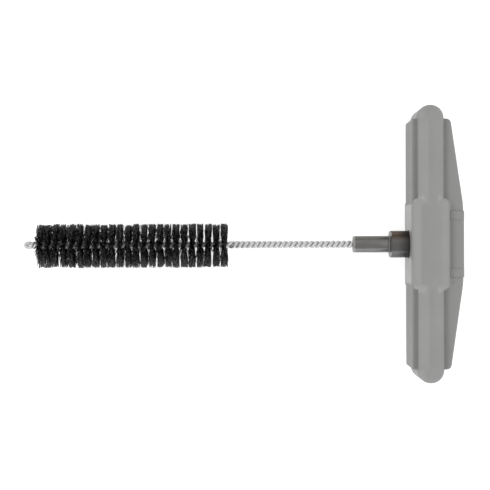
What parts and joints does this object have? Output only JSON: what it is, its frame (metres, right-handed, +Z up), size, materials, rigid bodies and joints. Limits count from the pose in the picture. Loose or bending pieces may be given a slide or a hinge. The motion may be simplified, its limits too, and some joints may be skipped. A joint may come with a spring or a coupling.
{
  "type": "drill hole cleaning brush",
  "caption": "T-handled hand brush for drill holes: black nylon bristles twisted into a steel wire stem, held in a turned ferrule that screws into a moulded grey grip.",
  "frame": {"origin": "under the middle of the tool's length, on the surface it lies on, below the brush axis", "axes": "+X along the brush axis from the tip towards the palm, +Y along the grip, +Z up from the surface it lies on"},
  "size_m": [0.1983, 0.1242, 0.029],
  "materials": {
    "grip_plastic": "mid-grey moulded plastic, fine satin",
    "bush_steel": "dark blackened steel, smooth",
    "screw_steel": "zinc plated",
    "washer_rubber": "dark grey, matt",
    "ferrule_steel": "dark grey turned steel, smooth",
    "wire_steel": "bright drawn wire",
    "bristle_nylon": "black nylon filament, slight sheen"
  },
  "bodies": {
    "handle": {"handle_upper_shell": "grip_plastic", "handle_lower_shell": "grip_plastic", "palm_clip": "grip_plastic", "collar_bush": "bush_steel", "shell_screw_1": "screw_steel", "shell_screw_2": "screw_steel", "shell_screw_3": "screw_steel", "shell_screw_4": "screw_steel"},
    "washer": {"shoulder_washer": "washer_rubber"},
    "brush": {"ferrule": "ferrule_steel", "stem_wire": "wire_steel", "bristles_1": "bristle_nylon", "bristles_2": "bristle_nylon", "bristles_3": "bristle_nylon", "bristles_4": "bristle_nylon"}
  },
  "joints": [
    {"name": "brush_travel", "type": "slide", "parent": "handle", "child": "washer", "axis": [-1, 0, 0], "range_m": [0, 0.01]},
    {"name": "brush_unscrew", "type": "hinge", "parent": "washer", "child": "brush", "pos_m": [0.0664, 0, 0.0145], "axis": [-1, 0, 0], "range_deg": [0, 3600]}
  ],
  "couplings": [
    {"joint": "brush_unscrew", "follows": "brush_travel", "rad_per_m": 6283.2}
  ]
}
